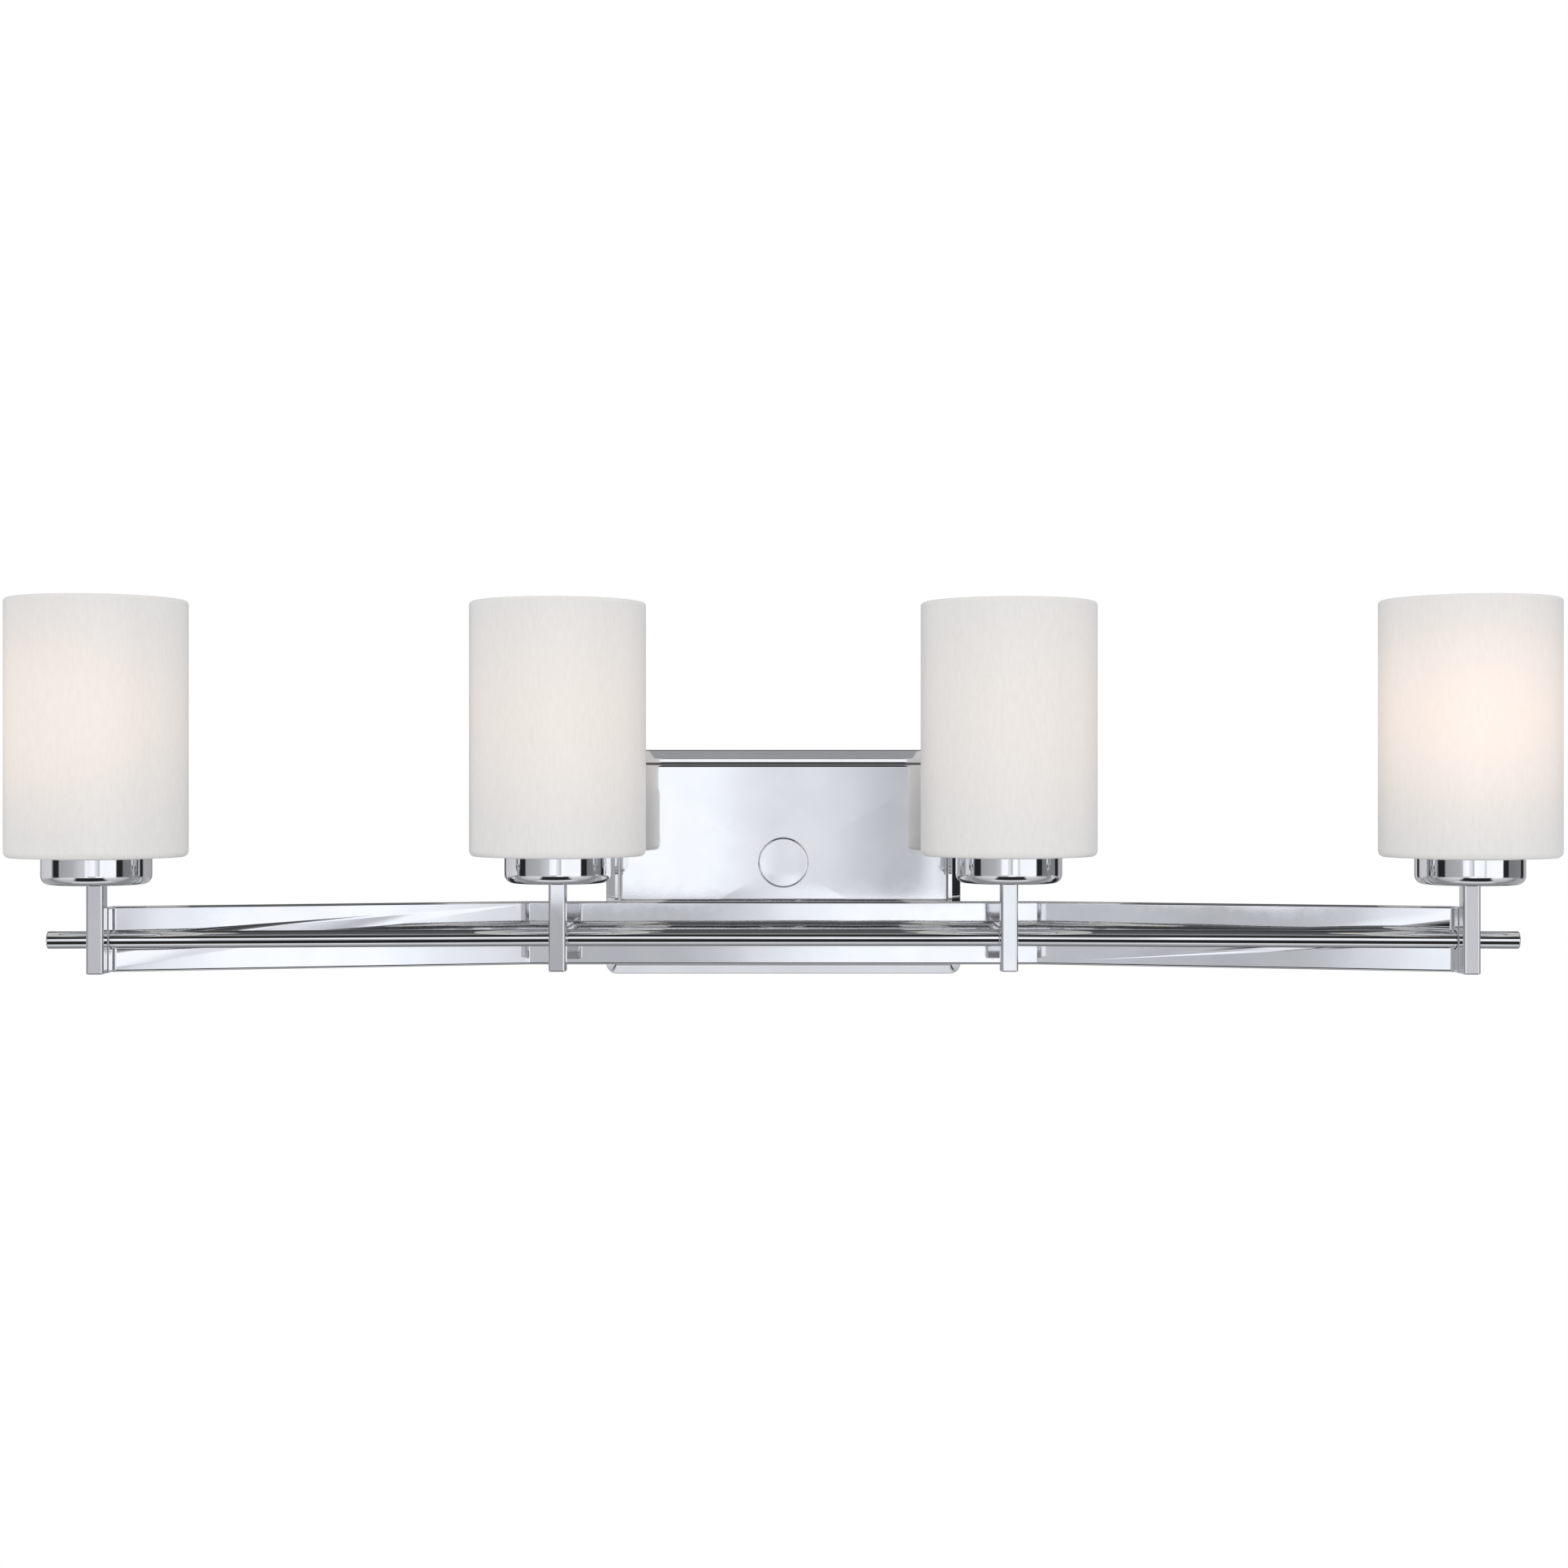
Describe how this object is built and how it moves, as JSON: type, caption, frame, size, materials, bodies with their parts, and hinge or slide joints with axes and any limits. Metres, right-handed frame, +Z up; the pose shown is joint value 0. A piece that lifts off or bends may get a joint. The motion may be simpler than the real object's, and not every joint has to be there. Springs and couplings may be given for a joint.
{
  "type": "vanity light bar",
  "caption": "Wall-mounted chrome bath light bar with a rectangular backplate, a bent flat band, a bowed rod and open-topped opal glass cylinder shades on square stems.",
  "frame": {"origin": "wall plane, behind the centre of the backplate", "axes": "+X along the bar to the right as seen from the room, +Y into the wall, +Z up"},
  "size_m": [0.886, 0.163, 0.2212],
  "materials": {
    "chrome": "polished",
    "opal_glass": "satin etched",
    "bulb_glass": "frosted",
    "bulb_cap": "rolled",
    "porcelain": "glazed",
    "brass": "bright",
    "zinc_steel": "zinc plated",
    "ground_green": "green dyed"
  },
  "bodies": {
    "root": {"backplate": "chrome", "crossbar": "zinc_steel", "nipple": "zinc_steel", "nipple_lock_nut": "zinc_steel", "ground_screw": "ground_green", "left_post": "chrome", "left_post_nut": "zinc_steel", "right_post": "chrome", "right_post_nut": "zinc_steel", "flat_band": "chrome", "cross_rod": "chrome", "left_standoff": "chrome", "right_standoff": "chrome", "light_1_stem": "chrome", "light_1_cup": "chrome", "light_1_stud": "zinc_steel", "light_1_stud_nut": "zinc_steel", "light_1_socket": "porcelain", "light_1_screw_shell": "brass", "light_1_contact": "brass", "light_1_shade": "opal_glass", "light_2_stem": "chrome", "light_2_cup": "chrome", "light_2_stud": "zinc_steel", "light_2_stud_nut": "zinc_steel", "light_2_socket": "porcelain", "light_2_screw_shell": "brass", "light_2_contact": "brass", "light_2_shade": "opal_glass", "light_3_stem": "chrome", "light_3_cup": "chrome", "light_3_stud": "zinc_steel", "light_3_stud_nut": "zinc_steel", "light_3_socket": "porcelain", "light_3_screw_shell": "brass", "light_3_contact": "brass", "light_3_shade": "opal_glass", "light_4_stem": "chrome", "light_4_cup": "chrome", "light_4_stud": "zinc_steel", "light_4_stud_nut": "zinc_steel", "light_4_socket": "porcelain", "light_4_screw_shell": "brass", "light_4_contact": "brass", "light_4_shade": "opal_glass"},
    "knob": {"center_knob": "chrome"},
    "shade_ring_1": {"light_1_shade_ring": "porcelain"},
    "bulb_1": {"light_1_bulb_base": "bulb_cap", "light_1_bulb_glass": "bulb_glass"},
    "shade_ring_2": {"light_2_shade_ring": "porcelain"},
    "bulb_2": {"light_2_bulb_base": "bulb_cap", "light_2_bulb_glass": "bulb_glass"},
    "shade_ring_3": {"light_3_shade_ring": "porcelain"},
    "bulb_3": {"light_3_bulb_base": "bulb_cap", "light_3_bulb_glass": "bulb_glass"},
    "shade_ring_4": {"light_4_shade_ring": "porcelain"},
    "bulb_4": {"light_4_bulb_base": "bulb_cap", "light_4_bulb_glass": "bulb_glass"}
  },
  "joints": [
    {"name": "knob_turn", "type": "hinge", "parent": "root", "child": "knob", "pos_m": [0, -0.0223, 0], "axis": [0, -1, 0], "continuous": true},
    {"name": "shade_ring_1_turn", "type": "hinge", "parent": "root", "child": "shade_ring_1", "pos_m": [-0.39195, -0.112, 0.0101], "axis": [0, 0, 1], "continuous": true},
    {"name": "bulb_1_turn", "type": "hinge", "parent": "root", "child": "bulb_1", "pos_m": [-0.39195, -0.112, 0.0034], "axis": [0, 0, 1], "continuous": true},
    {"name": "shade_ring_2_turn", "type": "hinge", "parent": "root", "child": "shade_ring_2", "pos_m": [-0.13065, -0.092, 0.0101], "axis": [0, 0, 1], "continuous": true},
    {"name": "bulb_2_turn", "type": "hinge", "parent": "root", "child": "bulb_2", "pos_m": [-0.13065, -0.092, 0.0034], "axis": [0, 0, 1], "continuous": true},
    {"name": "shade_ring_3_turn", "type": "hinge", "parent": "root", "child": "shade_ring_3", "pos_m": [0.13065, -0.092, 0.0101], "axis": [0, 0, 1], "continuous": true},
    {"name": "bulb_3_turn", "type": "hinge", "parent": "root", "child": "bulb_3", "pos_m": [0.13065, -0.092, 0.0034], "axis": [0, 0, 1], "continuous": true},
    {"name": "shade_ring_4_turn", "type": "hinge", "parent": "root", "child": "shade_ring_4", "pos_m": [0.39195, -0.112, 0.0101], "axis": [0, 0, 1], "continuous": true},
    {"name": "bulb_4_turn", "type": "hinge", "parent": "root", "child": "bulb_4", "pos_m": [0.39195, -0.112, 0.0034], "axis": [0, 0, 1], "continuous": true}
  ]
}
